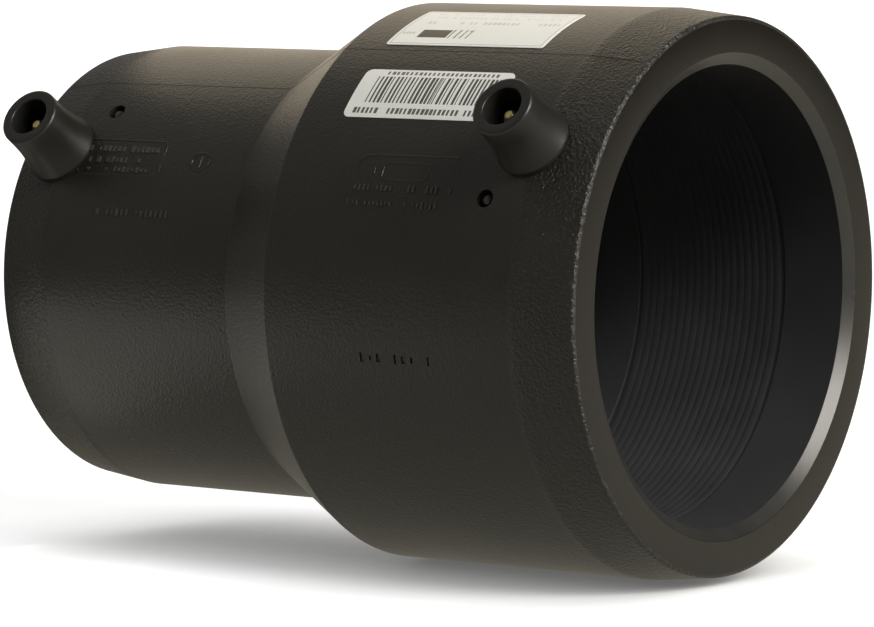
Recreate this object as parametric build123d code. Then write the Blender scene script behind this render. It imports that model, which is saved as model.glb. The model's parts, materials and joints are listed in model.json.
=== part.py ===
from build123d import *
import os
from math import cos, radians, sin

# Electrofusion reducing coupler for 110 mm and 90 mm polyethylene pipe.
# Millimetres. The axis is Z: the 90 mm end face lies on Z = 0 and the 110 mm socket opens upwards.
# Both terminals point to -Y. A bearing is counted round Z from -Y, positive towards -X.

LENGTH = 180.0

# 110 mm end
LARGE_R = 68.6            # outside of the large body
LARGE_FACE_R = 66.9       # outside of its end face, after the end taper
LARGE_TAPER = 15.8        # length of that taper
LARGE_BORE_R = 55.3
LARGE_SOCKET_DEPTH = 82.0
LARGE_BODY_BACK = 93.0    # height at which the large body starts

# 90 mm end
SMALL_R = 56.3
SMALL_FACE_R = 54.4
SMALL_TAPER = 14.0
SMALL_BORE_R = 45.3
SMALL_SOCKET_DEPTH = 66.0
SMALL_BODY_TOP = 72.0     # height at which the outer cone starts

LEAD_IN_WIDTH = 2.9       # chamfer at each socket mouth
LEAD_IN_DEPTH = 2.05
EDGE_BEVEL = 0.8          # outer edge of the large end face

# passage between the two pipe stops
PASSAGE_LARGE_R = 48.0
PASSAGE_SMALL_R = 38.5

# heating winding: coated wire laid turn beside turn, its ridges level with the bore
TURN_PITCH = 2.155
RIDGE_HEIGHT = 0.5
WINDING_BACK = 1.7        # from the bore wall to the back of the winding
LARGE_TURNS = 20          # in the open socket, down from its terminal
SMALL_TURNS = 16          # up from the 90 mm terminal
LARGE_RIDGES = 5          # modelled ridges, each for four turns
WIRE_R = 0.5
WIRE_END = 1.0            # how far the bridge reaches into each winding
WIRE_KNEE = 2.5           # where it bends, above the 110 mm pipe stop

# terminals: shroud with a contact pin standing in it
LARGE_TERMINAL_Z = 161.5
SMALL_TERMINAL_Z = 12.5
SHROUD_HEIGHT = 15.2      # rim above the body
SHROUD_SKIRT = 3.0        # depth below the crown of the body that its foot is cut from
SHROUD_R = 7.7
SHROUD_COLLAR_R = 9.6
SHROUD_COLLAR = 0.6
SHROUD_FLARE = 3.4        # height at which the flare meets the tube
SHROUD_BORE_R = 5.0
SHROUD_BORE_DEPTH = 12.0
PIN_R = 2.0
PIN_ROOT_R = 2.5          # thicker part held by the shroud's floor
PIN_ROOT = 0.4            # how far that part stands above the floor
PIN_BELOW_RIM = 3.5

# fusion indicators
INDICATOR_BEARING = 12.5
LARGE_INDICATOR_Z = 153.2
SMALL_INDICATOR_Z = 24.0
WELL_R = 2.2
WELL_DEPTH = 3.0
INDICATOR_R = 1.25
INDICATOR_BELOW = 0.5

# labels
LABEL_THICKNESS = 0.15
LABEL_Z = 126.4
BARCODE_LENGTH = 43.0
BARCODE_WIDTH = 15.4
BARCODE_CORNER = 1.8
BARCODE_BEARING = 10.5
TRACE_LENGTH = 45.5
TRACE_WIDTH = 20.2
TRACE_BEARING = 33.8


def turned(corners):
    """Solid of revolution about Z from (radius, height) corners."""
    outline = Polyline(*[(r, 0, z) for r, z in corners], close=True)
    return revolve(make_face(outline), Axis.Z, 360)


def outward(bearing, z):
    """Plane on the axis at height z whose normal points out along a bearing."""
    along, across = cos(radians(bearing)), sin(radians(bearing))
    return Plane(origin=(0, 0, z), x_dir=(along, -across, 0), z_dir=(-across, -along, 0))


def spigot(radius, bearing, z, start, end):
    """Round bar along a bearing, from one distance off the axis to another."""
    bar = Cylinder(radius, end - start, align=(Align.CENTER, Align.CENTER, Align.MIN))
    return outward(bearing, z) * Pos(0, 0, start) * bar


def outer_form():
    return turned([
        (0, 0), (SMALL_FACE_R, 0), (SMALL_R, SMALL_TAPER), (SMALL_R, SMALL_BODY_TOP),
        (LARGE_R, LARGE_BODY_BACK), (LARGE_R, LENGTH - LARGE_TAPER),
        (LARGE_FACE_R, LENGTH - EDGE_BEVEL), (LARGE_FACE_R - EDGE_BEVEL, LENGTH), (0, LENGTH),
    ])


def inner_form():
    """Sockets, lead-in chamfers, pipe stops and passage, as one solid to take out."""
    return turned([
        (0, 0), (SMALL_BORE_R + LEAD_IN_WIDTH, 0), (SMALL_BORE_R, LEAD_IN_DEPTH),
        (SMALL_BORE_R, SMALL_SOCKET_DEPTH), (PASSAGE_SMALL_R, SMALL_SOCKET_DEPTH),
        (PASSAGE_LARGE_R, LENGTH - LARGE_SOCKET_DEPTH),
        (LARGE_BORE_R, LENGTH - LARGE_SOCKET_DEPTH), (LARGE_BORE_R, LENGTH - LEAD_IN_DEPTH),
        (LARGE_BORE_R + LEAD_IN_WIDTH, LENGTH), (0, LENGTH),
    ])


def winding_spans():
    """Bore radius, lower edge and upper edge of the two windings, each under its terminal."""
    return (
        (LARGE_BORE_R, LARGE_TERMINAL_Z - LARGE_TURNS * TURN_PITCH, LARGE_TERMINAL_Z),
        (SMALL_BORE_R, SMALL_TERMINAL_Z, SMALL_TERMINAL_Z + SMALL_TURNS * TURN_PITCH),
    )


def band(bore_r, low, high, depth):
    """Ring that reaches from the bore wall to the back of a winding, or further inwards."""
    back = bore_r + WINDING_BACK
    return turned([(bore_r - depth, low), (bore_r - depth, high), (back, high), (back, low)])


def ridged_band(bore_r, low, high):
    """The winding of the open socket: a band with ridges, their crests level with the bore."""
    pitch = (high - low) / LARGE_RIDGES
    root, back = bore_r + RIDGE_HEIGHT, bore_r + WINDING_BACK
    corners = [(root, low)]
    for ridge in range(LARGE_RIDGES):
        corners.append((bore_r, low + (ridge + 0.5) * pitch))
        corners.append((root, low + (ridge + 1) * pitch))
    return turned(corners + [(back, high), (back, low)])


def bridge_wire():
    """Wire inside the wall that joins the two windings, on the terminals' side."""
    (large_r, large_low, _), (small_r, _, small_high) = winding_spans()
    middle = (WINDING_BACK + RIDGE_HEIGHT) / 2
    path = Polyline(
        (0, -large_r - middle, large_low + WIRE_END),
        (0, -large_r - middle, LENGTH - LARGE_SOCKET_DEPTH + WIRE_KNEE),
        (0, -small_r - middle, small_high - WIRE_END),
    )
    section = Plane(origin=path @ 0, z_dir=path % 0) * Circle(WIRE_R)
    return sweep(section, path, transition=Transition.RIGHT)


def heating_winding():
    large, small = winding_spans()
    return ridged_band(*large).fuse(band(*small, 0), bridge_wire())


def shroud_floor():
    """Height of the shroud's floor above the body."""
    return SHROUD_HEIGHT - SHROUD_BORE_DEPTH


def terminal_shroud(body_r, z):
    """Tube with a flared foot, seated on the curve of the body and bored for the pin."""
    floor = shroud_floor()
    shroud = turned([
        (PIN_ROOT_R, -SHROUD_SKIRT), (SHROUD_COLLAR_R, -SHROUD_SKIRT),
        (SHROUD_COLLAR_R, SHROUD_COLLAR), (SHROUD_R, SHROUD_FLARE),
        (SHROUD_R, SHROUD_HEIGHT), (SHROUD_BORE_R, SHROUD_HEIGHT),
        (SHROUD_BORE_R, floor), (PIN_ROOT_R, floor),
    ])
    return outward(0, z) * Pos(0, 0, body_r) * shroud - outer_form()


def contact_pin(body_r, bore_r, z):
    """Brass pin whose foot sits on the back of the winding, its tip below the shroud's rim."""
    back = bore_r + WINDING_BACK
    shoulder = body_r + shroud_floor() + PIN_ROOT
    tip = body_r + SHROUD_HEIGHT - PIN_BELOW_RIM
    pin = turned([
        (0, bore_r), (PIN_ROOT_R, bore_r), (PIN_ROOT_R, shoulder), (PIN_R, shoulder),
        (PIN_R, tip), (0, tip),
    ])
    return outward(0, z) * pin - Pos(0, 0, z) * Cylinder(back, 4 * PIN_ROOT_R)


def fusion_indicator(body_r, bearing, z):
    """Small stud on the floor of its well, just below the skin of the body."""
    return spigot(INDICATOR_R, bearing, z, body_r - WELL_DEPTH, body_r - INDICATOR_BELOW)


def label(length, width, corner, bearing, z):
    """Thin sheet bent round the large body."""
    chord = 2 * LARGE_R * sin(width / LARGE_R / 2)
    outline = RectangleRounded(chord, length, corner) if corner else Rectangle(chord, length)
    block = extrude(outward(bearing, z) * outline, LARGE_R * 2)
    skin = Pos(0, 0, z) * (
        Cylinder(LARGE_R + LABEL_THICKNESS, length + 2) - Cylinder(LARGE_R, length + 2)
    )
    return skin & block


def indicator_places():
    return (
        (LARGE_R, -INDICATOR_BEARING, LARGE_INDICATOR_Z),
        (SMALL_R, INDICATOR_BEARING, SMALL_INDICATOR_Z),
    )


def moulded_body(buried):
    """The polyethylene moulding, with room for the pieces that reach into it."""
    body = outer_form() - inner_form()
    for span in winding_spans():
        body -= band(*span, 1)
    for body_r, bearing, z in indicator_places():
        body -= spigot(WELL_R, bearing, z, body_r - WELL_DEPTH, body_r + 1)
    for piece in buried:
        body -= piece
    return body


def pieces():
    made = {
        "contact_pin_110": contact_pin(LARGE_R, LARGE_BORE_R, LARGE_TERMINAL_Z),
        "contact_pin_90": contact_pin(SMALL_R, SMALL_BORE_R, SMALL_TERMINAL_Z),
    }
    made["moulded_body"] = moulded_body([bridge_wire(), *made.values()])
    for name, place in zip(("fusion_indicator_110", "fusion_indicator_90"), indicator_places()):
        made[name] = fusion_indicator(*place)
    made["heating_winding"] = heating_winding()
    made["terminal_shroud_110"] = terminal_shroud(LARGE_R, LARGE_TERMINAL_Z)
    made["terminal_shroud_90"] = terminal_shroud(SMALL_R, SMALL_TERMINAL_Z)
    made["barcode_label"] = label(
        BARCODE_LENGTH, BARCODE_WIDTH, BARCODE_CORNER, BARCODE_BEARING, LABEL_Z)
    made["traceability_label"] = label(
        TRACE_LENGTH, TRACE_WIDTH, 0, TRACE_BEARING, LABEL_Z)
    return made


os.makedirs("parts", exist_ok=True)
for name, solid in pieces().items():
    export_step(solid, f"parts/{name}.step")
    box = solid.bounding_box()
    print(name, len(solid.solids()), round(solid.volume, 1), box.min, box.max)
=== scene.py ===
import json
import math
from collections import namedtuple

import bmesh
import bpy
from bpy.props import FloatProperty, FloatVectorProperty, IntProperty, PointerProperty
from mathutils import Color, Matrix, Vector


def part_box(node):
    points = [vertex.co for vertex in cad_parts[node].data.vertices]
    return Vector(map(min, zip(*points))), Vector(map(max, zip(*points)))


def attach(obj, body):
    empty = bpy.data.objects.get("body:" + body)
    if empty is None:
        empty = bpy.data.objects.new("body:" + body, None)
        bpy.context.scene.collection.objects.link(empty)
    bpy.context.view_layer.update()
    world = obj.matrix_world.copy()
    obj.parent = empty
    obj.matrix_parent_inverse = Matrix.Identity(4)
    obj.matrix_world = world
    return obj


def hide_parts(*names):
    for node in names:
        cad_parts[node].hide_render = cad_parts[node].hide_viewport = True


bl_info = {
    "name": "Electrofusion coupler",
    "version": (1, 0, 0),
    "blender": (4, 5, 0),
    "location": "View3D > Sidebar > Coupler",
    "description": "Dresses the solids of a reducing coupler with its fine shapes and finishes",
    "category": "Add Mesh",
}

MM = 0.001
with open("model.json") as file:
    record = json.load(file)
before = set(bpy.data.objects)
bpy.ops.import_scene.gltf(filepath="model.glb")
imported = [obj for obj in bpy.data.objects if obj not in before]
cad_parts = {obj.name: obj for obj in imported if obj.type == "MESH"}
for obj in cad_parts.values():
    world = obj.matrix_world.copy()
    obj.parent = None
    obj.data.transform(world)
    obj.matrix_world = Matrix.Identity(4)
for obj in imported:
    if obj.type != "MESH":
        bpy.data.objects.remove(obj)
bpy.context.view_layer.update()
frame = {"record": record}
MOUNTS = {mount["name"]: mount for mount in frame["record"]["mounts"]}
BODY_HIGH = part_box("moulded_body")[1]
LENGTH = BODY_HIGH.z
LARGE_R = BODY_HIGH.x
LARGE_BORE_R = MOUNTS["socket_110"]["dims"]["r_mm"] * MM
SMALL_BORE_R = MOUNTS["socket_90"]["dims"]["r_mm"] * MM
ENDS = ("110", "90")
WHITE, PALE, COOL = (1.0, 1.0, 1.0), (1.0, 0.98, 0.95), (0.93, 1.0, 1.0)
MILD, WARM, CREAM = (1.0, 0.95, 0.87), (1.0, 0.83, 0.60), (1.0, 0.94, 0.77)
PLAIN = (0, "")            # round and finish of a section's corner that names neither
SOCKET_KINDS = {float: "NodeSocketFloat", int: "NodeSocketInt", tuple: "NodeSocketVector"}
PrintRow = namedtuple("PrintRow", "left right low high cells fill thin wide weight")


def bearing_of(point):
    """Angle round the axis from -Y, positive towards -X."""
    return math.atan2(-point.x, -point.y)


def outward(bearing):
    return Vector((-math.sin(bearing), -math.cos(bearing), 0))


def sideways(bearing):
    """The way a bearing grows."""
    return Vector((-math.cos(bearing), math.sin(bearing), 0))


# ---- settings


def length(default, name, description):
    return FloatProperty(
        name=name, description=description, default=default * MM, unit="LENGTH", precision=5
    )


def colour(default, name, description):
    return FloatVectorProperty(
        name=name, description=description, default=default, size=3, subtype="COLOR",
        min=0.0, max=1.0,
    )


def angle(degrees, name, description):
    return FloatProperty(
        name=name, description=description, default=math.radians(degrees), subtype="ANGLE"
    )


def share(default, name, description):
    return FloatProperty(
        name=name, description=description, default=default, min=0.0, max=1.0, subtype="FACTOR"
    )


def turns(default, name, description):
    return IntProperty(name=name, description=description, default=default, min=2)


class CouplerSizes(bpy.types.PropertyGroup):
    """Fine sizes that the solids leave out, and those that both share."""

    small_r: length(56.3, "Small body radius", "Outside of the 90 mm body")
    large_face_r: length(66.9, "Large face radius", "Outside of the 110 mm end face")
    small_face_r: length(54.4, "Small face radius", "Outside of the 90 mm end face")
    large_taper: length(15.8, "Large taper", "Length of the taper at the 110 mm end")
    small_taper: length(14, "Small taper", "Length of the taper at the 90 mm end")
    cone_low: length(72, "Cone foot", "Height at which the outer cone starts")
    cone_high: length(93, "Cone top", "Height at which the outer cone ends")
    edge_round: length(1.1, "Edge round", "Round on the outer edge of each end face")
    bend_round: length(1.2, "Bend round", "Round where a taper or the cone meets a body")
    lead_width: length(2.9, "Lead-in width", "Width of the chamfer at each mouth")
    lead_depth: length(2.05, "Lead-in depth", "Depth of the chamfer at each mouth")
    large_stop: length(98, "110 mm pipe stop", "Height of the stop in the 110 mm socket")
    small_stop: length(66, "90 mm pipe stop", "Height of the stop in the 90 mm socket")
    passage_high_r: length(48, "Passage top radius", "Passage radius at the 110 mm stop")
    passage_low_r: length(38.5, "Passage foot radius", "Passage radius at the 90 mm stop")
    turn_height: length(0.26, "Turn height", "From the crest of a turn to the wall behind it")
    turn_pitch: length(2.155, "Turn pitch", "From one turn of wire to the next")
    large_turns: turns(20, "110 mm turns", "Turns of wire in the 110 mm socket")
    small_turns: turns(16, "90 mm turns", "Turns of wire in the 90 mm socket")
    rim_round: length(0.9, "Rim round", "Round on the shroud's rim")
    collar: length(0.6, "Collar", "Height of the ring at the shroud's foot")
    collar_r: length(9.3, "Collar radius", "Outside of the ring at the shroud's foot")
    flare: length(11.0, "Flare", "Height at which the flare meets the tube")
    shroud_r: length(7.7, "Shroud radius", "Outside of the shroud's tube")
    shroud_bore_r: length(5.0, "Shroud bore radius", "Inside of the shroud")
    shroud_bore: length(12.0, "Shroud bore depth", "From the rim to the shroud's floor")
    shroud_height: length(15.2, "Shroud height", "From the crown of the body to the rim")
    tip_taper: length(1.4, "Tip taper", "Height of the taper at the tip of a pin")
    well_r: length(2.2, "Well radius", "Radius of the wells of the fusion indicators")
    mark_height: length(0.36, "Mark height", "How far the moulded marks stand proud")


class CouplerFinish(bpy.types.PropertyGroup):
    """Colours and finishes."""

    skin: colour((0.0125, 0.0115, 0.0092), "Skin", "Polyethylene of the moulding")
    worn: colour((0.030, 0.028, 0.023), "Worn skin", "The moulding where it is rubbed")
    face: colour((0.0082, 0.0070, 0.0056), "End face", "Polyethylene of the two end faces")
    lead: colour((0.024, 0.023, 0.021), "Lead-in", "Machined chamfer at each mouth")
    shroud: colour((0.0125, 0.0118, 0.0105), "Shroud", "Polyethylene of the shrouds")
    wire: colour((0.034, 0.034, 0.0365), "Wire coat", "Coat of the heating wire")
    brass: colour((0.90, 0.74, 0.34), "Brass", "Contact pins")
    paper: colour((0.95, 0.93, 0.89), "Paper", "Labels")
    ink: colour((0.022, 0.018, 0.018), "Ink", "Print on the labels")
    grain_size: length(0.55, "Grain size", "Width of one grain of the skin")
    skin_roughness: share(0.31, "Skin roughness", "Roughness of the moulding")


class CouplerStage(bpy.types.PropertyGroup):
    """Camera, floor and cove."""

    aim: FloatVectorProperty(
        name="Aim", description="Point that the camera looks at", size=3,
        default=(7.2 * MM, 3.9 * MM, 95.1 * MM), subtype="XYZ", unit="LENGTH",
    )
    distance: length(1235.9, "Distance", "From the camera to its aim")
    azimuth: angle(28.51, "Azimuth", "Camera's way round the axis from -Y towards +X")
    elevation: angle(35.31, "Elevation", "Camera's height above the horizon")
    roll: angle(93.61, "Roll", "Turn of the camera about its own line of sight")
    lens: FloatProperty(
        name="Lens", description="Focal length in millimetres", default=205.69, min=10.0,
    )
    rest_bearing: angle(-124.0, "Cove bearing", "Side of the coupler on which the cove stands")
    cove_gap: length(0.4, "Cove gap", "From the large body to the cove")
    mirror_share: share(0.37, "Mirror share", "How much of the cove reflections show")
    # Shade reach and depth set a painted shade: ambient occlusion dims the camera's glow of the
    # floor and cove round the coupler.
    shade_reach: length(42, "Shade reach", "How far the soft shade round the coupler spreads")
    shade_depth: share(0.12, "Shade depth", "Level of the cove where the coupler touches it")
    room: share(0.01, "Room", "Level of the room's own light")
    floor_drop: length(120, "Floor drop", "How far the floor lies under the end face")


GROUPS = {"coupler_sizes": CouplerSizes, "coupler_finish": CouplerFinish,
          "coupler_stage": CouplerStage}


def settings():
    """The scene's sizes, finish and stage."""
    return [getattr(bpy.context.scene, name) for name in GROUPS]


# ---- mesh helpers


def soften(corners, steps=6, most=0.45):
    """Polyline from (r, z, round, finish) corners, each rounded corner drawn as an arc.

    A finish holds from its corner to the next; an arc keeps that of the stretch before it, and
    takes at most a given share of each stretch beside it.
    """
    corners = [corner + PLAIN[len(corner) - 2:] for corner in corners]
    points = []
    for index, (r, z, round_r, tag) in enumerate(corners):
        here = Vector((r, z))
        before = Vector(corners[index - 1][:2]) - here
        after = Vector(corners[(index + 1) % len(corners)][:2]) - here
        if not round_r or before.length < 1e-9 or after.length < 1e-9:
            points.append((r, z, tag))
            continue
        half = before.angle(after) / 2
        reach = min(round_r / math.tan(half), before.length * most, after.length * most)
        start = here + before.normalized() * reach
        end = here + after.normalized() * reach
        for step in range(steps + 1):
            t = step / steps
            spot = start * (1 - t) ** 2 + here * (2 * t * (1 - t)) + end * t**2
            points.append((spot.x, spot.y, tag if step == steps else corners[index - 1][3]))
    return points


def turned(name, corners, steps, tags=()):
    """Mesh object turned about Z from a closed section of (r, z, round, finish) corners."""
    section = soften(corners)
    bm = bmesh.new()
    rings = []
    for r, z, _ in section:
        if r < 1e-7:
            rings.append([bm.verts.new((0, 0, z))] * steps)
            continue
        swings = [2 * math.pi * step / steps for step in range(steps)]
        rings.append([bm.verts.new((r * math.cos(a), r * math.sin(a), z)) for a in swings])
    for index, (_, _, tag) in enumerate(section):
        low, high = rings[index], rings[(index + 1) % len(rings)]
        for step in range(steps):
            turn = (step + 1) % steps
            corners = list(dict.fromkeys((low[step], low[turn], high[turn], high[step])))
            if len(corners) > 2:
                face = bm.faces.new(corners)
                face.material_index = tags.index(tag) if tags else 0
    bmesh.ops.recalc_face_normals(bm, faces=bm.faces)
    return from_bmesh(name, bm)


def placed_object(name, data):
    piece = bpy.data.objects.new(name, data)
    bpy.context.scene.collection.objects.link(piece)
    return piece


def from_bmesh(name, bm):
    mesh = bpy.data.meshes.new(name)
    bm.to_mesh(mesh)
    bm.free()
    return placed_object(name, mesh)


def baked(piece, name=None):
    """Turns a piece and its modifiers into a plain mesh at the origin."""
    bpy.context.view_layer.update()
    graph = bpy.context.evaluated_depsgraph_get()
    mesh = bpy.data.meshes.new_from_object(piece.evaluated_get(graph), depsgraph=graph)
    mesh.transform(piece.matrix_world)
    label = name or piece.name
    old = piece.data
    bpy.data.objects.remove(piece)
    if old.users == 0 and isinstance(old, bpy.types.Mesh):
        bpy.data.meshes.remove(old)
    mesh.name = label
    return placed_object(label, mesh)


def joined(name, pieces):
    """One mesh object from several plain ones, all at the origin."""
    bm = bmesh.new()
    for piece in pieces:
        bm.from_mesh(piece.data)
        bpy.data.objects.remove(piece)
    return from_bmesh(name, bm)


def cut(piece, cutters):
    """Takes the cutters out of a piece."""
    tool = joined("cutter", cutters)
    knife = piece.modifiers.new("cut", "BOOLEAN")
    knife.operation = "DIFFERENCE"
    knife.solver = "EXACT"
    knife.object = tool
    piece = baked(piece)
    bpy.data.objects.remove(tool)
    return piece


def dress(piece, materials, nodes=(), sharp=32):
    """Gives a finished piece its materials and its place on the model, and hides the solids it
    stands for.

    Edges sharper than an angle in degrees stay sharp.
    """
    piece.data.shade_smooth()
    piece.data.set_sharp_from_angle(angle=math.radians(sharp))
    finishes = [face.material_index for face in piece.data.polygons]
    piece.data.materials.clear()
    for material in materials:
        piece.data.materials.append(material)
    for face, finish in zip(piece.data.polygons, finishes):
        face.material_index = finish
    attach(piece, "root")
    if nodes:
        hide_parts(*nodes)


def stand_on(bearing, crown, z):
    """Matrix that turns local Z outwards along a bearing, with its origin on the body."""
    out = outward(bearing)
    side = sideways(bearing)
    turn = Matrix((side, out.cross(side), out)).transposed().to_4x4()
    turn.translation = out * crown + Vector((0, 0, z))
    return turn


# ---- shader helpers


def fill_socket(socket, value):
    """Links an input to a socket or to a node's first output, or sets it to a constant."""
    if isinstance(value, bpy.types.Node):
        value = value.outputs[0]
    if isinstance(value, bpy.types.NodeSocket):
        socket.id_data.links.new(value, socket)
    else:
        socket.default_value = value


def fill(node, values):
    for key, value in values.items():
        fill_socket(node.inputs[key], value)


def add(tree, kind, values=None, **options):
    """Adds a node, sets its options and fills its inputs."""
    node = tree.nodes.new(kind)
    for key, value in options.items():
        setattr(node, key, value)
    fill(node, values or {})
    return node


def bare_tree(owner):
    """Empty node tree of a material or a world."""
    owner.use_nodes = True
    owner.node_tree.nodes.clear()
    return owner.node_tree


def new_material(name):
    material = bpy.data.materials.new(name)
    tree = bare_tree(material)
    shader = add(tree, "ShaderNodeBsdfPrincipled")
    add(tree, "ShaderNodeOutputMaterial", {"Surface": shader.outputs["BSDF"]})
    return material, tree, shader


def math_node(operation, first, second):
    """Result of a sum on two values; the node joins the tree of the one that is a socket."""
    tree = (first if isinstance(first, bpy.types.NodeSocket) else second).id_data
    return add(tree, "ShaderNodeMath", {0: first, 1: second}, operation=operation).outputs[0]


def both(first, second):
    return math_node("MULTIPLY", first, second)


def either(first, second):
    return math_node("MAXIMUM", first, second)


def inside(value, low, high):
    """1 where a value lies between two limits."""
    return both(math_node("GREATER_THAN", value, low),
                math_node("LESS_THAN", value, high))


def blend_colours(factor, first, second):
    """Mix of two colours, each a socket or red, green and blue."""
    node = add(factor.id_data, "ShaderNodeMix", data_type="RGBA")
    sockets = [socket for socket in node.inputs if socket.enabled]
    for socket, value in zip(sockets, (factor, first, second)):
        fill_socket(socket, (*value, 1.0) if isinstance(value, (tuple, list, Color)) else value)
    return next(socket for socket in node.outputs if socket.enabled)


def remap(value, low, high, to_low=0.0, to_high=1.0):
    values = {"Value": value, "From Min": low, "From Max": high, "To Min": to_low,
              "To Max": to_high}
    return add(value.id_data, "ShaderNodeMapRange", values).outputs["Result"]


def spread(mask, at_none, at_full):
    """Value that follows a mask from 0 to 1."""
    return remap(mask, 0.0, 1.0, at_none, at_full)


def new_group(name, tree_kind, inputs, masks=()):
    """Node group with named inputs, each given by its default or its kind.

    It puts out masks and heights, or, where none is named, geometry.
    """
    tree = bpy.data.node_groups.new(name, tree_kind)
    for label, default in inputs.items():
        bare = isinstance(default, str)
        kind = default if bare else SOCKET_KINDS[type(default)]
        socket = tree.interface.new_socket(label, in_out="INPUT", socket_type=kind)
        if not bare:
            socket.default_value = default
    kind = "NodeSocketFloat" if masks else "NodeSocketGeometry"
    for label in masks or ["Geometry"]:
        tree.interface.new_socket(label, in_out="OUTPUT", socket_type=kind)
    return tree, tree.nodes.new("NodeGroupInput").outputs, tree.nodes.new("NodeGroupOutput")


def placed(tree, name, values):
    """Puts a shader node group into a material."""
    return add(tree, "ShaderNodeGroup", values, node_tree=bpy.data.node_groups[name]).outputs


def make_grain_group():
    """Spark-eroded grain: cells with a broken edge, over a finer noise."""
    tree, given, out = new_group("moulded_grain", "ShaderNodeTree",
                                 {"Size": 0.0005, "Amount": 1.0}, ["Height"])
    place = add(tree, "ShaderNodeTexCoord").outputs["Object"]
    scale = math_node("DIVIDE", 1.0, given["Size"])
    cells = add(tree, "ShaderNodeTexVoronoi", {"Vector": place, "Scale": scale})
    fine = add(tree, "ShaderNodeTexNoise", {
        "Vector": place, "Scale": both(scale, 2.3), "Detail": 1.0, "Roughness": 0.6})
    height = math_node("ADD", cells.outputs["Distance"], fine.outputs["Fac"])
    fill(out, {"Height": both(height, given["Amount"])})


def make_handling_group():
    """Rubbed and dusty patches: a soft cloud mask and sparse fine specks."""
    tree, given, out = new_group("handling", "ShaderNodeTree",
                                 {"Patch size": 0.03, "Contrast": 1.0}, ["Patches", "Specks"])
    place = add(tree, "ShaderNodeTexCoord").outputs["Object"]
    scale = math_node("DIVIDE", 1.0, given["Patch size"])
    cloud = add(tree, "ShaderNodeTexNoise",
                {"Vector": place, "Scale": scale, "Detail": 5.0, "Roughness": 0.62})
    soft = remap(cloud.outputs["Fac"], 0.35, 0.7)
    dots = add(tree, "ShaderNodeTexVoronoi", {"Vector": place, "Scale": both(scale, 9.0)})
    near = remap(dots.outputs["Distance"], 0.05, 0.10, 1.0, 0.0)
    chosen = remap(dots.outputs["Color"], 0.86, 0.9)
    fill(out, {"Patches": both(soft, given["Contrast"]),
               "Specks": both(near, chosen)})


# ---- materials


def bump(shader, height, distance, strength=1.0):
    node = add(shader.id_data, "ShaderNodeBump",
               {"Height": height, "Distance": distance, "Strength": strength})
    fill(shader, {"Normal": node.outputs["Normal"]})


def wear_tint(tree, base, rubbed, patch, contrast):
    """Colour with rubbed patches and specks on it, and the mask of its patches."""
    _, finish, _ = settings()
    wear = placed(tree, "handling", {"Patch size": patch, "Contrast": contrast})
    tint = blend_colours(wear["Patches"], base, rubbed)
    return blend_colours(wear["Specks"], tint, finish.worn), wear["Patches"]


def skin_material():
    """Grained outside of the moulding, with a coarser grain on the two end tapers."""
    sizes, finish, _ = settings()
    material, tree, shader = new_material("grained_skin")
    place = add(tree, "ShaderNodeTexCoord").outputs["Object"]
    height = add(tree, "ShaderNodeSeparateXYZ", {"Vector": place}).outputs["Z"]
    fade = 1.5 * MM
    high_edge = LENGTH - sizes.large_taper
    band = either(remap(height, high_edge - fade, high_edge + fade),
                  remap(height, sizes.small_taper + fade, sizes.small_taper - fade))
    fine = placed(tree, "moulded_grain", {"Size": finish.grain_size, "Amount": 0.35})
    coarse = placed(tree, "moulded_grain", {"Size": finish.grain_size * 1.6, "Amount": 1.0})
    rough = both(coarse["Height"], spread(band, 0.55, 2.1))
    bump(shader, math_node("ADD", fine["Height"], rough), 0.12 * MM)
    tint, patches = wear_tint(tree, finish.skin, finish.worn, 0.04, 0.45)
    fill(shader, {"Base Color": tint, "Roughness": spread(
        patches, finish.skin_roughness, finish.skin_roughness + 0.12)})
    return material


def smooth_material(name, base, roughness, grain, patch=0.03):
    """Smooth polyethylene with faint handling marks; the depth of its grain is in millimetres."""
    _, finish, _ = settings()
    material, tree, shader = new_material(name)
    tint, patches = wear_tint(tree, base, [c * 1.6 for c in base], patch, 0.5)
    fill(shader, {"Base Color": tint,
                  "Roughness": spread(patches, roughness, roughness + 0.1)})
    texture = placed(tree, "moulded_grain", {"Size": finish.grain_size, "Amount": 1.0})
    bump(shader, texture["Height"], grain * MM, 0.6)
    return material


def brass_material():
    _, finish, _ = settings()
    material, tree, shader = new_material("pin_brass")
    patches = placed(tree, "handling", {"Patch size": 0.002, "Contrast": 0.7})["Patches"]
    tint = blend_colours(patches, finish.brass, [c * 0.55 for c in finish.brass])
    fill(shader, {"Base Color": tint, "Metallic": 1.0,
                  "Roughness": spread(patches, 0.28, 0.45)})
    return material


def make_print_group():
    """Row of random dashes or bars across a label, from its map."""
    tree, given, out = new_group("print_row", "ShaderNodeTree", {
        "U": 0.0, "V": 0.0, "Left": 0.0, "Right": 1.0, "Low": 0.0, "High": 1.0, "Cells": 60.0,
        "Fill": 0.5, "Thin": 0.3, "Wide": 0.8, "Seed": 0.0}, ["Mask"])
    count = both(given["U"], given["Cells"])
    cell = math_node("ADD", math_node("FLOOR", count, 0.0), given["Seed"])
    chance = add(tree, "ShaderNodeTexWhiteNoise", {"W": cell}, noise_dimensions="1D")
    kept = math_node("LESS_THAN", chance.outputs["Value"], given["Fill"])
    shift = math_node("ADD", cell, 0.37)
    size = add(tree, "ShaderNodeTexWhiteNoise", {"W": shift}, noise_dimensions="1D")
    width = spread(size.outputs["Value"], given["Thin"], given["Wide"])
    drawn = math_node("LESS_THAN", math_node("FRACT", count, 0.0), width)
    across = inside(given["U"], given["Left"], given["Right"])
    along = inside(given["V"], given["Low"], given["High"])
    fill(out, {"Mask": both(both(kept, drawn), both(across, along))})


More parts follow.
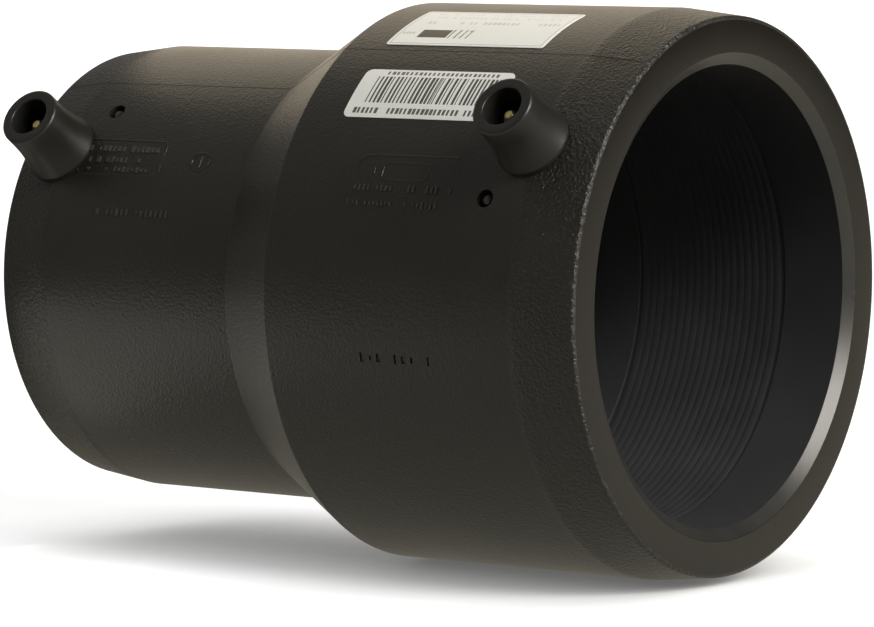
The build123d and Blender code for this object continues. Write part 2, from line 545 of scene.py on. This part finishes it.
def label_material(name, rows, box=None, block=None):
    """Paper with printed rows, and perhaps a thin frame and a dark block."""
    _, finish, _ = settings()
    material, tree, shader = new_material(name)
    chart = add(tree, "ShaderNodeUVMap", uv_map="print")
    parts = add(tree, "ShaderNodeSeparateXYZ", {"Vector": chart.outputs["UV"]})
    u, v = parts.outputs["X"], parts.outputs["Y"]
    mask = None
    for number, row in enumerate(rows):
        *shape, weight = row
        printed = placed(tree, "print_row", {
            "U": u, "V": v, "Seed": 211.0 * number + 7.0,
            **{key.capitalize(): value for key, value in zip(PrintRow._fields, shape)}})
        ink = both(printed["Mask"], weight)
        mask = ink if mask is None else either(mask, ink)
    if box:
        edges = []
        for margin_u, margin_v in (box[:2], (box[0] + box[2], box[1] + box[3])):
            edges.append(both(inside(u, margin_u, 1 - margin_u),
                              inside(v, margin_v, 1 - margin_v)))
        mask = either(mask, both(math_node("SUBTRACT", *edges), 0.55))
    if block:
        mask = either(mask, both(inside(u, *block[:2]),
                                       inside(v, *block[2:])))
    patches = placed(tree, "handling", {"Patch size": 0.012, "Contrast": 0.35})["Patches"]
    paper = blend_colours(patches, finish.paper, [c * 0.93 for c in finish.paper])
    fill(shader, {"Base Color": blend_colours(mask, paper, finish.ink),
                  "Roughness": spread(mask, 0.5, 0.35)})
    fibres = placed(tree, "moulded_grain", {"Size": 0.0003, "Amount": 1.0})
    bump(shader, fibres["Height"], 0.008 * MM, 0.4)
    return material


def stage_material(name, matt_level, seen_level, lift, mirror, one_sided):
    """White to the camera but for a painted shade round the coupler, and fainter to reflections.

    The matt and seen levels are its paint to other rays and to the camera; lift and mirror are
    its glow to the camera and to reflections. One-sided, it is clear from behind.
    """
    _, _, stage = settings()
    material = bpy.data.materials.new(name)
    tree = bare_tree(material)
    path = add(tree, "ShaderNodeLightPath").outputs
    direct = path["Is Camera Ray"]
    shown = blend_colours(direct, [c * matt_level for c in PALE], (seen_level,) * 3)
    matt = add(tree, "ShaderNodeBsdfDiffuse", {"Color": shown})
    mirrored = either(path["Is Glossy Ray"], path["Is Transmission Ray"])
    # Painted shade: ambient occlusion dims the camera's glow near the coupler, darkening the floor
    # and cove there without any cast shadow.
    near = add(tree, "ShaderNodeAmbientOcclusion", {"Distance": stage.shade_reach}, samples=6)
    contact = spread(near.outputs["AO"], stage.shade_depth, 1.0)
    level = either(both(direct, both(contact, lift)),
                   both(mirrored, mirror))
    tint = blend_colours(direct, CREAM, WHITE)
    glow = add(tree, "ShaderNodeEmission", {"Color": tint, "Strength": level})
    surface = add(tree, "ShaderNodeAddShader", {0: matt, 1: glow})
    if one_sided:
        clear = add(tree, "ShaderNodeBsdfTransparent")
        behind = add(tree, "ShaderNodeNewGeometry").outputs["Backfacing"]
        surface = add(tree, "ShaderNodeMixShader",
                      {"Fac": behind, 1: surface, 2: clear})
    add(tree, "ShaderNodeOutputMaterial", {"Surface": surface})
    return material


# ---- node-built shapes


def close_tree(tree, geometry, given, out):
    """Ends a tree in realised geometry with its material."""
    real = add(tree, "GeometryNodeRealizeInstances", {"Geometry": geometry})
    paint = add(tree, "GeometryNodeSetMaterial",
                {"Geometry": real, "Material": given["Material"]})
    fill(out, {"Geometry": paint})


def make_coil_tree():
    """A helix of coated wire laid turn beside turn, flattened against the wall."""
    tree, given, out = new_group("coil", "GeometryNodeTree", {
        "Geometry": "NodeSocketGeometry", "Radius": 0.056, "Turns": 19.0, "Height": 0.04,
        "Half width": 0.001, "Half depth": 0.0008, "Waver": 0.0001, "Seed": 3.0,
        "Material": "NodeSocketMaterial"})
    helix = add(tree, "GeometryNodeCurveSpiral", {
        "Resolution": 150, "Rotations": given["Turns"], "Start Radius": given["Radius"],
        "End Radius": given["Radius"], "Height": given["Height"]})
    noise = add(tree, "ShaderNodeTexNoise", {
        "Vector": add(tree, "GeometryNodeInputPosition"),
        "W": given["Seed"], "Scale": 55.0, "Detail": 1.0}, noise_dimensions="4D")
    centred = math_node("SUBTRACT", noise.outputs["Fac"], 0.5)
    shift = add(tree, "ShaderNodeCombineXYZ", {"Z": both(centred, given["Waver"])})
    moved = add(tree, "GeometryNodeSetPosition",
                {"Geometry": helix, "Offset": shift})
    upright = add(tree, "GeometryNodeSetCurveNormal", {"Curve": moved}, mode="Z_UP")
    ring = add(tree, "GeometryNodeCurvePrimitiveCircle", {"Resolution": 10, "Radius": 1.0})
    size = add(tree, "ShaderNodeCombineXYZ",
               {"X": given["Half depth"], "Y": given["Half width"], "Z": 1.0})
    oval = add(tree, "GeometryNodeTransform",
               {"Geometry": ring, "Scale": size})
    wire = add(tree, "GeometryNodeCurveToMesh", {
        "Curve": upright, "Profile Curve": oval, "Fill Caps": True})
    close_tree(tree, wire, given, out)


def make_stroke_tree():
    """A row of short strokes of uneven height, spaced evenly along X."""
    tree, given, out = new_group("stroke_row", "GeometryNodeTree", {
        "Geometry": "NodeSocketGeometry", "Count": 10, "Step": 0.001,
        "Stroke": (0.001, 0.002, 0.001), "Kept": 0.8, "Seed": 1,
        "Material": "NodeSocketMaterial"})
    offset = add(tree, "ShaderNodeCombineXYZ", {"X": given["Step"]})
    line = add(tree, "GeometryNodeMeshLine",
               {"Count": given["Count"], "Offset": offset})
    stroke = add(tree, "GeometryNodeMeshCube", {"Size": given["Stroke"]})
    kept = add(tree, "FunctionNodeRandomValue",
               {"Probability": given["Kept"], "Seed": given["Seed"]}, data_type="BOOLEAN")
    tall = add(tree, "FunctionNodeRandomValue",
               {"Min": (0.5, 0.45, 1.0), "Max": (1.6, 1.0, 1.0), "Seed": given["Seed"]},
               data_type="FLOAT_VECTOR")
    row = add(tree, "GeometryNodeInstanceOnPoints", {
        "Points": line, "Instance": stroke,
        "Selection": next(s for s in kept.outputs if s.enabled),
        "Scale": next(s for s in tall.outputs if s.enabled)})
    close_tree(tree, row, given, out)


def grown(name, tree_name, values, matrix=None):
    """Runs a geometry tree on an empty mesh and keeps the result as a plain mesh."""
    tree = bpy.data.node_groups[tree_name]
    piece = placed_object(name, bpy.data.meshes.new(name))
    maker = piece.modifiers.new(tree_name, "NODES")
    maker.node_group = tree
    for socket in tree.interface.items_tree:
        if socket.in_out == "INPUT" and socket.name in values:
            maker[socket.identifier] = values[socket.name]
    piece = baked(piece)
    if not piece.data.polygons:
        raise RuntimeError(f"{name} came out empty")
    if matrix:
        piece.data.transform(matrix)
    return piece


# ---- the moulding


def outer_radius(z):
    """Outside radius of the moulding at a height."""
    sizes, _, _ = settings()
    stations = outer_stations(sizes)
    for (r0, z0), (r1, z1) in zip(stations, stations[1:]):
        if z0 <= z <= z1:
            return r0 + (r1 - r0) * (z - z0) / (z1 - z0)
    return stations[-1][0]


def outer_stations(sizes):
    return (
        (sizes.small_face_r, 0.0), (sizes.small_r, sizes.small_taper),
        (sizes.small_r, sizes.cone_low), (LARGE_R, sizes.cone_high),
        (LARGE_R, LENGTH - sizes.large_taper), (sizes.large_face_r, LENGTH),
    )


def winding_spans(sizes):
    """Bore radius, lower and upper edge, and turns of the two windings."""
    large_top = middle("terminal_shroud_110").z
    small_foot = middle("terminal_shroud_90").z
    return (
        (LARGE_BORE_R, large_top - sizes.large_turns * sizes.turn_pitch, large_top,
         sizes.large_turns),
        (SMALL_BORE_R, small_foot, small_foot + sizes.small_turns * sizes.turn_pitch,
         sizes.small_turns),
    )


def middle(node):
    low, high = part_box(node)
    return (Vector(low) + Vector(high)) / 2


def groove(bore_r, low, high, depth):
    """Corners of a winding's groove, from its upper edge down."""
    back = bore_r + depth
    return [(r, z, 0, "bore") for r, z in (
        (bore_r, high), (back, high), (back, low), (bore_r, low))]


def body_section(sizes):
    """Closed section of the moulding, with the finish of each stretch."""
    bend, edge, crisp, stop = sizes.bend_round, sizes.edge_round, 0.2 * MM, 0.5 * MM
    small_face, *bends, large_face = outer_stations(sizes)
    (large_bore, *large_span, _), (small_bore, *small_span, _) = winding_spans(sizes)
    return [
        (small_bore + sizes.lead_width, 0.0, crisp, "face"),
        (*small_face, edge, "skin"),
        *((*station, bend, "skin") for station in bends),
        (*large_face, edge, "face"),
        (large_bore + sizes.lead_width, LENGTH, crisp, "lead"),
        (large_bore, LENGTH - sizes.lead_depth, crisp, "bore"),
        *groove(large_bore, *large_span, sizes.turn_height),
        (large_bore, sizes.large_stop, stop, "bore"),
        (sizes.passage_high_r, sizes.large_stop, stop, "bore"),
        (sizes.passage_low_r, sizes.small_stop, stop, "bore"),
        (small_bore, sizes.small_stop, stop, "bore"),
        *groove(small_bore, *small_span, sizes.turn_height),
        (small_bore, sizes.lead_depth, crisp, "lead"),
    ]


def indicator_seat(node):
    """Matrix on the skin over a fusion indicator, its foot's depth below it and its radius."""
    low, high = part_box(node)
    spot = middle(node)
    crown = outer_radius(spot.z)
    near = min(Vector((x, y)).length for x in (low.x, high.x) for y in (low.y, high.y))
    return stand_on(bearing_of(spot), crown, spot.z), crown - near, (high.z - low.z) / 2


def well_cutter(node, sizes):
    """Plug that opens the well round a fusion indicator."""
    seat, depth, _ = indicator_seat(node)
    r = sizes.well_r
    plug = turned(f"well_{node}", [(0, -depth), (r, -depth), (r, depth), (0, depth)], 40)
    plug.data.transform(seat)
    return plug


def stroke_row(name, bearing_deg, z0, z1, height, depth, count, seed, kept=0.8):
    """Row of short strokes along Z on the outside of the moulding, placed in millimetres."""
    step = (z1 - z0) / (count - 1)
    values = {
        "Count": count, "Step": step * MM, "Stroke": (0.42 * step * MM, height * MM, 2 * depth),
        "Kept": kept, "Seed": seed,
    }
    seat = stand_on(math.radians(bearing_deg), outer_radius(z0 * MM), z0 * MM)
    return grown(name, "stroke_row", values,
                 seat @ Matrix.Rotation(math.radians(-90), 4, "Z"))


class COUPLER_OT_moulding(bpy.types.Operator):
    """Moulds the body with its tapers, cone, sockets and indicator wells"""

    bl_idname = "coupler.moulding"
    bl_label = "Moulded body"

    def execute(self, context):
        sizes, finish, _ = settings()
        tags = ("skin", "face", "lead", "bore")
        materials = [
            skin_material(),
            smooth_material("end_face", finish.face, roughness=0.20, grain=0.003, patch=0.05),
            smooth_material("lead_in", finish.lead, roughness=0.27, grain=0.0012, patch=0.02),
            smooth_material("bore_wall", finish.wire, roughness=0.38, grain=0.004),
        ]
        body = turned("body_moulding", body_section(sizes), 320, tags)
        for material in materials:
            body.data.materials.append(material)
        cutters = [well_cutter(f"fusion_indicator_{end}", sizes) for end in ENDS]
        cutters.append(stroke_row("sunk_row", -45, 121, 140, height=2.4, depth=0.35 * MM,
                                  count=9, seed=4, kept=0.75))
        body = cut(body, cutters)
        dress(body, materials, ["moulded_body"])
        return {"FINISHED"}


# ---- moulded marks


def wall_point(bearing_deg, z, lift):
    """Point on the outside of the moulding, z in millimetres."""
    reach = outer_radius(z * MM) + lift
    return outward(math.radians(bearing_deg)) * reach + Vector((0, 0, z * MM))


def raised_line(name, path, half_width, closed):
    """Thin bead along a row of points, half sunk in the skin."""
    data = bpy.data.curves.new(name, "CURVE")
    data.dimensions = "3D"
    data.bevel_depth = half_width
    data.bevel_resolution = 2
    data.use_fill_caps = True
    spline = data.splines.new("POLY")
    spline.points.add(len(path) - 1)
    for point, place in zip(spline.points, path):
        point.co = (*place, 1.0)
    spline.use_cyclic_u = closed
    return baked(placed_object(name, data))


def rounded_box(low_bearing, high_bearing, low_z, high_z, corner, lift):
    """Closed path round a box on the skin; the corner is in millimetres."""
    across = math.degrees(corner * MM / outer_radius(low_z * MM))
    left, right = low_bearing + across, high_bearing - across
    foot, head = low_z + corner, high_z - corner
    path = []
    for turn, (bearing, z) in enumerate(((right, head), (right, foot), (left, foot), (left, head))):
        for step in range(5):
            swing = math.radians(-90 * turn + 90 - 22.5 * step)
            path.append(wall_point(bearing + across * math.cos(swing),
                                   z + corner * math.sin(swing), lift))
    return path


def dial_paths(bearing, z, radius, lift, steps=24, pointer=0.6):
    """Ring with a pointer, like the date dial of a mould."""
    per_mm = math.degrees(MM / outer_radius(z * MM))
    ring = []
    for step in range(steps):
        swing = 2 * math.pi * step / steps
        ring.append(wall_point(bearing + per_mm * radius * math.cos(swing),
                               z + radius * math.sin(swing), lift))
    ends = [wall_point(bearing + per_mm * radius * side, z, lift) for side in (-pointer, pointer)]
    return ring, ends


def parting_path(bearing, lift, steps=8):
    """Points from one end face to the other, close together where the skin bends."""
    sizes, _, _ = settings()
    bends = [z / MM for _, z in outer_stations(sizes)]
    path = [wall_point(bearing, low + (high - low) * step / steps, lift)
            for low, high in zip(bends, bends[1:]) for step in range(steps)]
    return path[1:]


class COUPLER_OT_marks(bpy.types.Operator):
    """Adds the parting line and the plain raised marks of the mould"""

    bl_idname = "coupler.marks"
    bl_label = "Moulded marks"

    def execute(self, context):
        # Bearings are in degrees, heights and corners in millimetres.
        sizes, finish, _ = settings()
        proud = sizes.mark_height
        sink = -0.35 * proud
        frame_path = [wall_point(bearing, z, sink) for bearing, z in (
            (-4.4, 143), (-4.4, 120), (-4.6, 117), (-5.6, 115.2), (-15.2, 114))]
        tick = [wall_point(bearing, 120, sink) for bearing in (-7.2, -8.4)]
        ring, pointer = dial_paths(-2.2, 57.4, 2.6, sink)
        beads = (
            ("parting", parting_path(23.6, -0.09 * MM), 0.15 * MM, False),
            ("window", rounded_box(-9.6, -6, 122.4, 135.5, 1.2, sink), proud, True),
            ("frame", frame_path, proud, False),
            ("tick", tick, proud, False),
            ("low_frame", rounded_box(-6.6, 3.2, 20, 45.5, 1.5, sink), proud * 0.8, True),
            ("dial", ring, proud, True),
            ("pointer", pointer, proud, False),
        )
        lines = [raised_line(*bead) for bead in beads]
        rows = (  # bearing, lowest and highest stroke, their height, how many, seed
            (-11.4, 114.5, 126, 1.9, 10, 1), (-11.4, 130, 143, 1.9, 11, 2),
            (-14.6, 115, 128, 1.7, 12, 3), (-14.6, 131, 141, 1.7, 9, 5),
            (0.6, 22, 43, 1.9, 15, 6), (-2.6, 23, 40, 1.9, 13, 7), (-5.2, 22, 43, 1.6, 16, 8),
            (-16.6, 30, 51.5, 2.2, 15, 9),
        )
        strokes = [stroke_row(f"row_{number}", *place, proud * 0.7, count, seed)
                   for number, (*place, count, seed) in enumerate(rows)]
        # The stroke rows are half again lighter than the worn skin: partly rubbing of their raised
        # tops, partly a painted glint standing in for their highlights.
        rubbed = smooth_material("rubbed_marks", [c * 1.5 for c in finish.worn],
                                 roughness=0.16, grain=0.002, patch=0.004)
        for name, parts, paint in (("mould_marks", lines, bpy.data.materials["grained_skin"]),
                                   ("mark_rows", strokes, rubbed)):
            marks = joined(name, parts)
            dress(marks, [paint], sharp=50)
        return {"FINISHED"}


# ---- heating winding


class COUPLER_OT_winding(bpy.types.Operator):
    """Winds the coated heating wire in both sockets"""

    bl_idname = "coupler.winding"
    bl_label = "Heating winding"

    def execute(self, context):
        sizes, finish, _ = settings()
        coat = smooth_material("wire_coat", finish.wire, roughness=0.42, grain=0.01, patch=0.02)
        half_depth = sizes.turn_height / 2
        coils = []
        for end, (bore_r, low, _, count) in zip(ENDS, winding_spans(sizes)):
            rise = (count - 1) * sizes.turn_pitch
            place = Matrix.Translation((0, 0, low + sizes.turn_pitch / 2))
            turn = Matrix.Rotation(math.radians(-90), 4, "Z")
            coils.append(grown(f"coil_{end}", "coil", {
                "Radius": bore_r + half_depth, "Turns": float(count - 1), "Height": rise,
                "Half width": sizes.turn_pitch * 0.499, "Half depth": half_depth,
                "Waver": 0.16 * MM, "Seed": 3.0, "Material": coat}, place @ turn))
        winding = joined("wire_winding", coils)
        dress(winding, [coat], ["heating_winding"], sharp=60)
        return {"FINISHED"}


# ---- terminals


def shroud_section(sizes):
    """Section of a shroud about its own axis, with 0 at the crown of the body."""
    step = sizes.collar_r - sizes.shroud_r
    rise = sizes.flare - sizes.collar
    floor = sizes.shroud_height - sizes.shroud_bore
    flare = [(sizes.shroud_r + step * (1 - part) ** 2, sizes.collar + rise * part)
             for part in (0.12, 0.3, 0.5, 0.72)]
    return [
        (0, -sizes.collar), (sizes.collar_r, -sizes.collar),
        (sizes.collar_r, sizes.collar, 0.35 * MM), *flare, (sizes.shroud_r, sizes.flare),
        (sizes.shroud_r, sizes.shroud_height, sizes.rim_round),
        (sizes.shroud_bore_r, sizes.shroud_height, sizes.rim_round / 2),
        (sizes.shroud_bore_r, floor, 0.6 * MM), (0, floor),
    ]


def seat_foot(piece, crown, centre_z, foot):
    """Bends the lowest ring of a shroud onto the skin of the body."""
    for vert in piece.data.vertices:
        if vert.co.z > foot + 1e-6:
            continue
        z = centre_z + vert.co.y
        skin = outer_radius(z)
        vert.co.z = math.sqrt(max(skin**2 - vert.co.x**2, 0)) - crown - 0.05 * MM


def pin_section(sizes, root_r, free_r, tip):
    """Section of a contact pin above its shroud's floor, with its thicker root."""
    floor = sizes.shroud_height - sizes.shroud_bore
    foot, shoulder = floor - MM, floor + 0.4 * MM
    return [
        (0, foot), (root_r, foot), (root_r, shoulder, 0.15 * MM), (free_r, shoulder),
        (free_r, tip - sizes.tip_taper, 0.5 * MM),
        (free_r - 0.7 * sizes.tip_taper, tip, 0.6 * MM), (0, tip),
    ]


class COUPLER_OT_terminals(bpy.types.Operator):
    """Fits the two shrouds and their contact pins"""

    bl_idname = "coupler.terminals"
    bl_label = "Terminals"

    def execute(self, context):
        sizes, finish, _ = settings()
        plastic = smooth_material("shroud_plastic", finish.shroud, roughness=0.36, grain=0.008,
                                  patch=0.012)
        brass = brass_material()
        for end in ENDS:
            shroud_node, pin_node = f"terminal_shroud_{end}", f"contact_pin_{end}"
            centre_z = middle(shroud_node).z
            crown = -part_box(shroud_node)[0].y - sizes.shroud_height
            shroud = turned(f"shroud_{end}", shroud_section(sizes), 96)
            seat_foot(shroud, crown, centre_z, -sizes.collar)
            free_r = MOUNTS[f"terminal_{end}"]["dims"]["r_mm"] * MM
            pin_low, pin_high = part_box(pin_node)
            section = pin_section(sizes, pin_high.x, free_r, -pin_low.y - crown)
            pin = turned(f"pin_{end}", section, 48)
            for piece, slot, paint, node in (
                    (shroud, "smooth_polyethylene", plastic, shroud_node),
                    (pin, "pin_brass", brass, pin_node)):
                piece.data.transform(stand_on(0.0, crown, centre_z))
                dress(piece, [paint], [node])
        return {"FINISHED"}


class COUPLER_OT_indicators(bpy.types.Operator):
    """Stands the two fusion indicators in their wells"""

    bl_idname = "coupler.indicators"
    bl_label = "Fusion indicators"

    def execute(self, context):
        _, finish, _ = settings()
        plastic = smooth_material("indicator_plastic", finish.worn, roughness=0.22, grain=0.001,
                                  patch=0.004)
        rim, top = -0.9 * MM, -0.5 * MM
        for end in ENDS:
            node = f"fusion_indicator_{end}"
            seat, depth, radius = indicator_seat(node)
            stud = turned(f"indicator_{end}", [
                (0, -depth), (radius, -depth), (radius, rim, 0.3 * MM),
                (radius * 0.5, top, 0.4 * MM), (0, top)], 40)
            stud.data.transform(seat)
            dress(stud, [plastic], [node])
        return {"FINISHED"}


# ---- labels


def label_extent(node):
    """Lowest and highest bearing and height of a label's solid, and its outer radius."""
    corners = [vert.co for vert in bpy.data.objects[node].data.vertices]
    bearings = [bearing_of(corner) for corner in corners]
    heights = [corner.z for corner in corners]
    radius = max(corner.xy.length for corner in corners)
    return min(bearings), max(bearings), min(heights), max(heights), radius


def curved_label(name, node, corner, steps=40):
    """Thin sheet on the large body with rounded corners and a map for its print."""
    low_b, high_b, low_z, high_z, outer = label_extent(node)
    width = (high_b - low_b) * LARGE_R
    middle_b, middle_z = (low_b + high_b) / 2, (low_z + high_z) / 2
    half = (high_z - low_z) / 2
    inner = LARGE_R - 0.02 * MM
    bm = bmesh.new()
    chart = bm.loops.layers.uv.new("print")
    rows = []
    for step in range(steps + 1):
        across = 0.5 * width * math.sin(math.pi * (step / steps - 0.5))
        over = max(abs(across) - (width / 2 - corner), 0.0)
        reach = half - (corner - math.sqrt(max(corner**2 - over**2, 0.0)))
        out = outward(middle_b + across / LARGE_R)
        rows.append([
            bm.verts.new(out * radius + Vector((0, 0, middle_z + side * reach)))
            for radius, side in ((outer, -1), (outer, 1), (inner, 1), (inner, -1))])
    for low, high in zip(rows, rows[1:]):
        for first in range(4):
            second = (first + 1) % 4
            bm.faces.new((low[first], low[second], high[second], high[first]))
    bm.faces.new(rows[0])
    bm.faces.new(rows[-1])
    bmesh.ops.recalc_face_normals(bm, faces=bm.faces)
    for face in bm.faces:
        for loop in face.loops:
            place = loop.vert.co
            loop[chart].uv = ((place.z - low_z) / (high_z - low_z),
                              (bearing_of(place) - low_b) / (high_b - low_b))
    return from_bmesh(name, bm)


class COUPLER_OT_labels(bpy.types.Operator):
    """Sticks on the two labels with their plain print"""

    bl_idname = "coupler.labels"
    bl_label = "Labels"

    def execute(self, context):
        # Places are shares of the label's length and width, counted from its low corner.
        bars = label_material("barcode_paper", (
            PrintRow(0.09, 0.93, 0.29, 0.84, 38.0, 0.97, 0.2, 0.72, 0.95),
            PrintRow(0.09, 0.93, 0.29, 0.84, 76.0, 0.12, 0.25, 0.5, 0.9),
            PrintRow(0.15, 0.90, 0.885, 0.955, 33.0, 1.0, 0.45, 0.72, 0.85),
            PrintRow(0.05, 0.95, 0.08, 0.19, 35.0, 0.88, 0.45, 0.78, 0.9),
        ))
        dashes = [PrintRow(0.10, right, low, high, cells, filled, 0.4, 0.75, weight)
                  for right, low, high, cells, filled, weight in (
                      (0.95, 0.55, 0.62, 34.0, 0.72, 0.3), (0.93, 0.73, 0.78, 40.0, 0.6, 0.16),
                      (0.93, 0.86, 0.90, 40.0, 0.6, 0.12))]
        notes = label_material("traceability_paper", (
            PrintRow(0.03, 0.12, 0.26, 0.31, 50.0, 0.9, 0.4, 0.7, 0.45),
            PrintRow(0.345, 0.47, 0.17, 0.385, 26.0, 1.0, 0.15, 0.35, 0.8),
            PrintRow(0.345, 0.46, 0.34, 0.375, 20.0, 0.8, 0.6, 1.0, 0.7),
            *dashes,
        ), box=(0.018, 0.035, 0.004, 0.010), block=(0.15, 0.335, 0.18, 0.375))
        for node, name, corner, paper in (
                ("barcode_label", "bar_label", 1.8 * MM, bars),
                ("traceability_label", "note_label", 0.9 * MM, notes)):
            sheet = curved_label(name, node, corner)
            dress(sheet, [paper], [node])
        return {"FINISHED"}


# ---- stage


def plane(name, centre, normal, up, half_x, half_y, material):
    """Flat rectangle facing a way, with its place in its mesh."""
    side = up.cross(normal).normalized()
    top = normal.cross(side).normalized()
    corners = [centre + side * half_x * x + top * half_y * y
               for x, y in ((-1, -1), (1, -1), (1, 1), (-1, 1))]
    mesh = bpy.data.meshes.new(name)
    mesh.from_pydata([tuple(corner) for corner in corners], [], [(0, 1, 2, 3)])
    mesh.materials.append(material)
    piece = placed_object(name, mesh)
    piece.visible_shadow = False
    return piece


def lamp(name, place, turn, width, depth, brightness, tint):
    """Rectangular lamp of a given brightness, unseen by the camera."""
    data = bpy.data.lights.new(name, "AREA")
    data.shape = "RECTANGLE"
    data.size = width
    data.size_y = depth
    data.energy = brightness * math.pi * width * depth
    data.color = tint
    holder = placed_object(name, data)
    holder.location = place
    holder.rotation_euler = turn.to_euler()
    holder.visible_camera = False


def softbox(name, bearing_deg, elevation_deg, distance, size, brightness, tint):
    """Square lamp on a bearing and height, turned to the middle of the coupler."""
    lift = math.radians(elevation_deg)
    back = outward(math.radians(bearing_deg)) * math.cos(lift) + Vector((0, 0, math.sin(lift)))
    place = Vector((0, 0, LENGTH / 2)) + back * distance
    lamp(name, place, back.to_track_quat("Z", "Y"), size, size, brightness, tint)


def floor_panel(name, edge_deg, reach, across, brightness, tint):
    """Lamp that lies level with the end face and shines up, its edge along a bearing."""
    edge = math.radians(edge_deg)
    along, side = outward(edge), sideways(edge)
    (start, end), (near, far) = reach, across
    place = along * (start + end) / 2 + side * (near + far) / 2 + Vector((0, 0, 0.5 * MM))
    turn = Matrix((along, side, Vector((0, 0, -1)))).transposed()
    lamp(name, place, turn, end - start, abs(far - near), brightness, tint)


def set_world(stage):
    """White to the camera, soft grey light for everything else."""
    world = bpy.data.worlds.new("studio")
    bpy.context.scene.world = world
    tree = bare_tree(world)
    direct = add(tree, "ShaderNodeLightPath").outputs["Is Camera Ray"]
    level = spread(direct, stage.room, 1.0)
    sky = add(tree, "ShaderNodeBackground", {"Color": (*WHITE, 1.0), "Strength": level})
    add(tree, "ShaderNodeOutputWorld", {"Surface": sky})


def set_camera(stage):
    data = bpy.data.cameras.new("camera")
    data.lens = stage.lens
    data.sensor_width = 36.0
    data.clip_start = 0.05
    data.clip_end = 20.0
    camera = placed_object("camera", data)
    flat = math.cos(stage.elevation)
    back = Vector((math.sin(stage.azimuth) * flat, -math.cos(stage.azimuth) * flat,
                   math.sin(stage.elevation)))
    turn = back.to_track_quat("Z", "Y").to_matrix() @ Matrix.Rotation(stage.roll, 3, "Z")
    camera.location = Vector(stage.aim) + back * stage.distance
    camera.rotation_euler = turn.to_euler()
    bpy.context.scene.camera = camera


class COUPLER_OT_stage(bpy.types.Operator):
    """Sets the floor, the cove, the lamps and the camera"""

    bl_idname = "coupler.stage"
    bl_label = "Stage"

    def execute(self, context):
        _, _, stage = settings()
        up, floor_z, half = Vector((0, 0, 1)), -stage.floor_drop, 3.0
        floor = plane("floor", up * floor_z, up, Vector((0, 1, 0)), 2 * half, 2 * half,
                      stage_material("floor_white", matt_level=0.25, seen_level=0.35, lift=0.94,
                                     mirror=0.02, one_sided=False))
        side = outward(stage.rest_bearing)
        centre = side * (LARGE_R + stage.cove_gap) + up * (floor_z + half)
        cove = plane("cove", centre, -side, up, 2 * half, half,
                     stage_material("cove_white", matt_level=0.15, seen_level=0.45, lift=0.92,
                                    mirror=stage.mirror_share, one_sided=True))
        softbox("key", 34, 46, distance=1.6, size=0.5, brightness=13.6, tint=COOL)
        softbox("top_box", 60, 65, distance=1.6, size=0.8, brightness=13.2, tint=MILD)
        softbox("back_box", 179, 33, distance=0.47, size=0.2, brightness=2.3, tint=WARM)
        floor_panel("rim_panel", 78, (0.058, 0.6), (-0.0495, 0.25), brightness=0.88, tint=WARM)
        floor_panel("low_panel", -49.5, (0.058, 0.35), (0.01, -0.06), brightness=0.62, tint=MILD)
        set_world(stage)
        set_camera(stage)
        context.scene.view_settings.view_transform = "Standard"
        return {"FINISHED"}


# ---- add-on


class COUPLER_PT_panel(bpy.types.Panel):
    """Lists the coupler's settings and makers"""

    bl_idname = "COUPLER_PT_panel"
    bl_label = "Electrofusion coupler"
    bl_space_type = "VIEW_3D"
    bl_region_type = "UI"
    bl_category = "Coupler"

    def draw(self, context):
        for maker in MAKERS:
            self.layout.operator(maker.bl_idname)
        for group in settings():
            box = self.layout.box()
            for name in type(group).__annotations__:
                box.prop(group, name)


MAKERS = (
    COUPLER_OT_moulding, COUPLER_OT_marks, COUPLER_OT_winding, COUPLER_OT_terminals,
    COUPLER_OT_indicators, COUPLER_OT_labels, COUPLER_OT_stage,
)
CLASSES = (*GROUPS.values(), *MAKERS, COUPLER_PT_panel)


def register():
    for item in CLASSES:
        bpy.utils.register_class(item)
    for name, group in GROUPS.items():
        setattr(bpy.types.Scene, name, PointerProperty(type=group))


def unregister():
    for name in GROUPS:
        delattr(bpy.types.Scene, name)
    for item in reversed(CLASSES):
        bpy.utils.unregister_class(item)


def main():
    register()
    for make in (make_grain_group, make_handling_group, make_print_group, make_coil_tree,
                 make_stroke_tree):
        make()
    bpy.ops.coupler.moulding()
    bpy.ops.coupler.marks()
    bpy.ops.coupler.winding()
    bpy.ops.coupler.terminals()
    bpy.ops.coupler.indicators()
    bpy.ops.coupler.labels()
    bpy.ops.coupler.stage()


if __name__ == "__main__":
    main()
